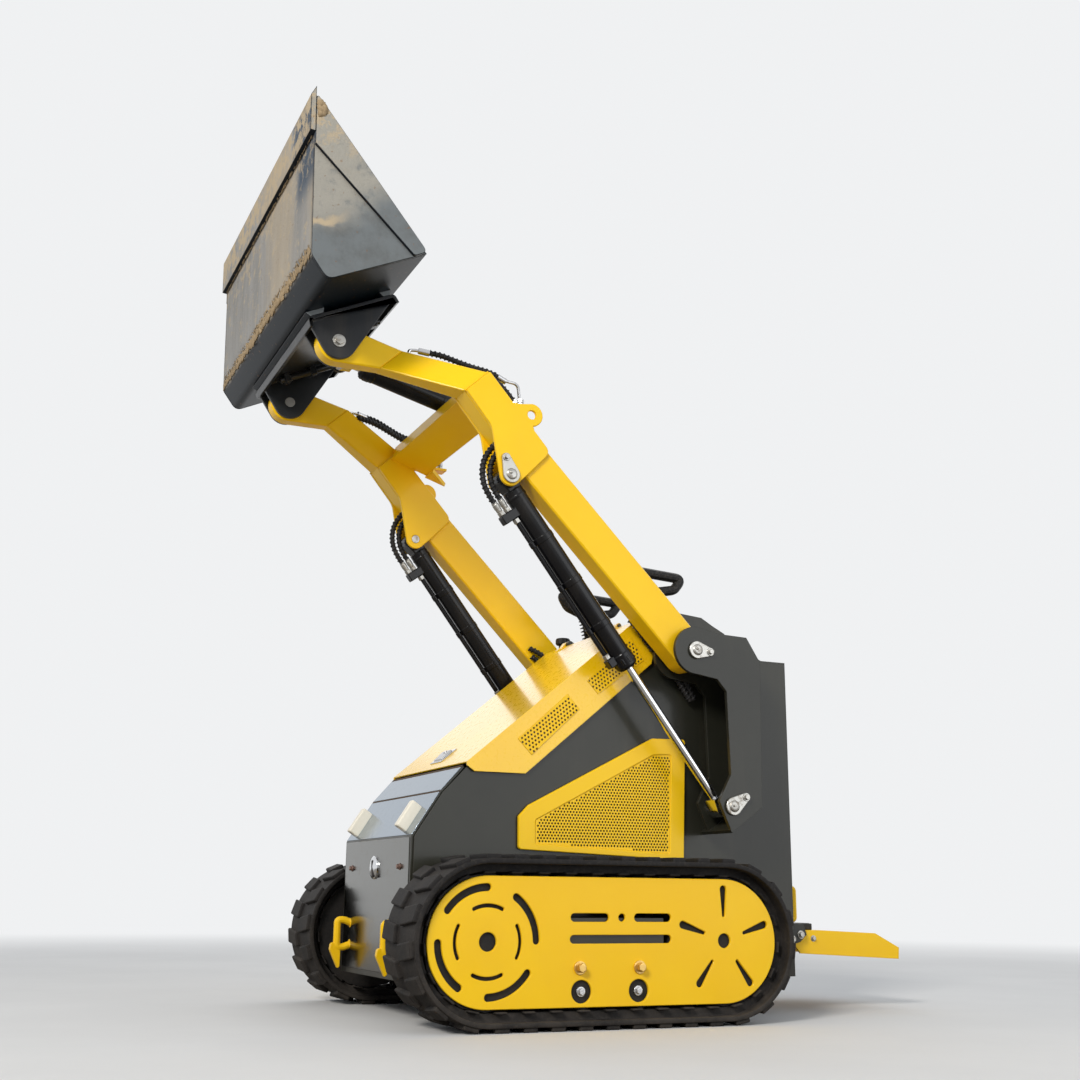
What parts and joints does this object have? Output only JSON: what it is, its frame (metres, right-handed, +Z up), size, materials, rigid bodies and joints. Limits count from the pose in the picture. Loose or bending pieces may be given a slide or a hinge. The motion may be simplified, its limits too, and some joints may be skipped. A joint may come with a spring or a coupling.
{
  "type": "mini track loader",
  "caption": "Stand-on compact loader on rubber tracks with a lifting arm, a tilting bucket, an opening hood and a fold-up operator platform.",
  "frame": {"origin": "on the ground under the centre of the machine's overall box", "axes": "+X forward towards the bucket, +Y to the machine's left, +Z up"},
  "size_m": [1.9794, 1.12, 2.326],
  "materials": {
    "yellow_paint": "gloss",
    "dark_paint": "satin",
    "black_paint": "gloss",
    "bucket_paint": "satin",
    "edge_steel": "worn",
    "track_rubber": "matte",
    "cast_wheels": "matte",
    "engine_iron": "matte",
    "chrome_rod": "polished",
    "bright_metal": "polished",
    "zinc_steel": "zinc plated",
    "black_plastic": "matte",
    "lamp_lens": "gloss",
    "hose_rubber": "matte"
  },
  "bodies": {
    "chassis": {"belly_plate": "dark_paint", "console": "dark_paint", "control_handles": "black_plastic", "engine_block": "engine_iron", "fuel_cap": "black_plastic", "guard_plate_left": "yellow_paint", "guard_plate_right": "yellow_paint", "nose_panel": "dark_paint", "panel_lock": "bright_metal", "platform_bracket": "dark_paint", "rear_panel": "dark_paint", "running_wheels_left": "cast_wheels", "running_wheels_right": "cast_wheels", "side_grille_left": "yellow_paint", "side_grille_right": "yellow_paint", "side_wall_left": "dark_paint", "side_wall_right": "dark_paint", "tie_downs": "yellow_paint", "tower_left": "dark_paint", "tower_pins": "zinc_steel", "tower_right": "dark_paint", "track_beam_left": "dark_paint", "track_beam_right": "dark_paint", "track_left": "track_rubber", "track_right": "track_rubber", "work_lights": "lamp_lens"},
    "hood": {"hood": "yellow_paint", "hood_latch": "bright_metal"},
    "platform": {"platform": "yellow_paint", "platform_mat": "black_plastic"},
    "arm": {"arm_left": "yellow_paint", "arm_pins": "zinc_steel", "arm_right": "yellow_paint", "cross_member": "yellow_paint"},
    "lift_barrel_left": {"lift_barrel_left": "black_paint", "lift_hoses_left": "hose_rubber"},
    "lift_rod_left": {"lift_rod_left": "chrome_rod"},
    "lift_barrel_right": {"lift_barrel_right": "black_paint", "lift_hoses_right": "hose_rubber"},
    "lift_rod_right": {"lift_rod_right": "chrome_rod"},
    "tilt_barrel": {"tilt_barrel": "black_paint"},
    "tilt_rod": {"tilt_rod": "chrome_rod"},
    "bucket": {"attach_pins": "zinc_steel", "attach_plate": "bucket_paint", "bucket": "bucket_paint", "cutting_edge": "edge_steel", "side_cutter_left": "bucket_paint", "side_cutter_right": "bucket_paint"}
  },
  "joints": [
    {"name": "hood_hinge", "type": "hinge", "parent": "chassis", "child": "hood", "pos_m": [-0.08219, 0, 1.06504], "axis": [0, 1, 0], "range_deg": [-50, 0]},
    {"name": "platform_fold", "type": "hinge", "parent": "chassis", "child": "platform", "pos_m": [-0.63374, 0, 0.208], "axis": [0, 1, 0], "range_deg": [0, 80]},
    {"name": "arm_lift", "type": "hinge", "parent": "chassis", "child": "arm", "pos_m": [-0.18374, 0, 0.962], "axis": [0, 1, 0], "range_deg": [0, 76]},
    {"name": "lift_barrel_swing_left", "type": "hinge", "parent": "arm", "child": "lift_barrel_left", "pos_m": [0.36626, 0.381, 1.393], "axis": [0, 1, 0], "range_deg": [-22.6, 0]},
    {"name": "lift_rod_slide_left", "type": "slide", "parent": "lift_barrel_left", "child": "lift_rod_left", "axis": [-0.6117, 0, -0.7911], "range_m": [-0.41443, 0]},
    {"name": "lift_barrel_swing_right", "type": "hinge", "parent": "arm", "child": "lift_barrel_right", "pos_m": [0.36626, -0.381, 1.393], "axis": [0, 1, 0], "range_deg": [-22.6, 0]},
    {"name": "lift_rod_slide_right", "type": "slide", "parent": "lift_barrel_right", "child": "lift_rod_right", "axis": [-0.6117, 0, -0.7911], "range_m": [-0.41443, 0]},
    {"name": "bucket_tilt", "type": "hinge", "parent": "arm", "child": "bucket", "pos_m": [0.81726, 0, 1.742], "axis": [0, 1, 0], "range_deg": [0, 124]},
    {"name": "tilt_barrel_swing", "type": "hinge", "parent": "arm", "child": "tilt_barrel", "pos_m": [0.35826, 0, 1.716], "axis": [0, 1, 0], "range_deg": [0, 8.33]},
    {"name": "tilt_rod_slide", "type": "slide", "parent": "tilt_barrel", "child": "tilt_rod", "axis": [0.9673, 0, 0.2537], "range_m": [0, 0.19434]}
  ],
  "couplings": [
    {"joint": "lift_barrel_swing_left", "follows": "arm_lift", "ratio": -0.29666},
    {"joint": "lift_rod_slide_left", "follows": "arm_lift", "m_per_rad": -0.31236},
    {"joint": "lift_barrel_swing_right", "follows": "arm_lift", "ratio": -0.29666},
    {"joint": "lift_rod_slide_right", "follows": "arm_lift", "m_per_rad": -0.31236},
    {"joint": "tilt_barrel_swing", "follows": "bucket_tilt", "ratio": 0.06681},
    {"joint": "tilt_rod_slide", "follows": "bucket_tilt", "m_per_rad": 0.089751}
  ]
}
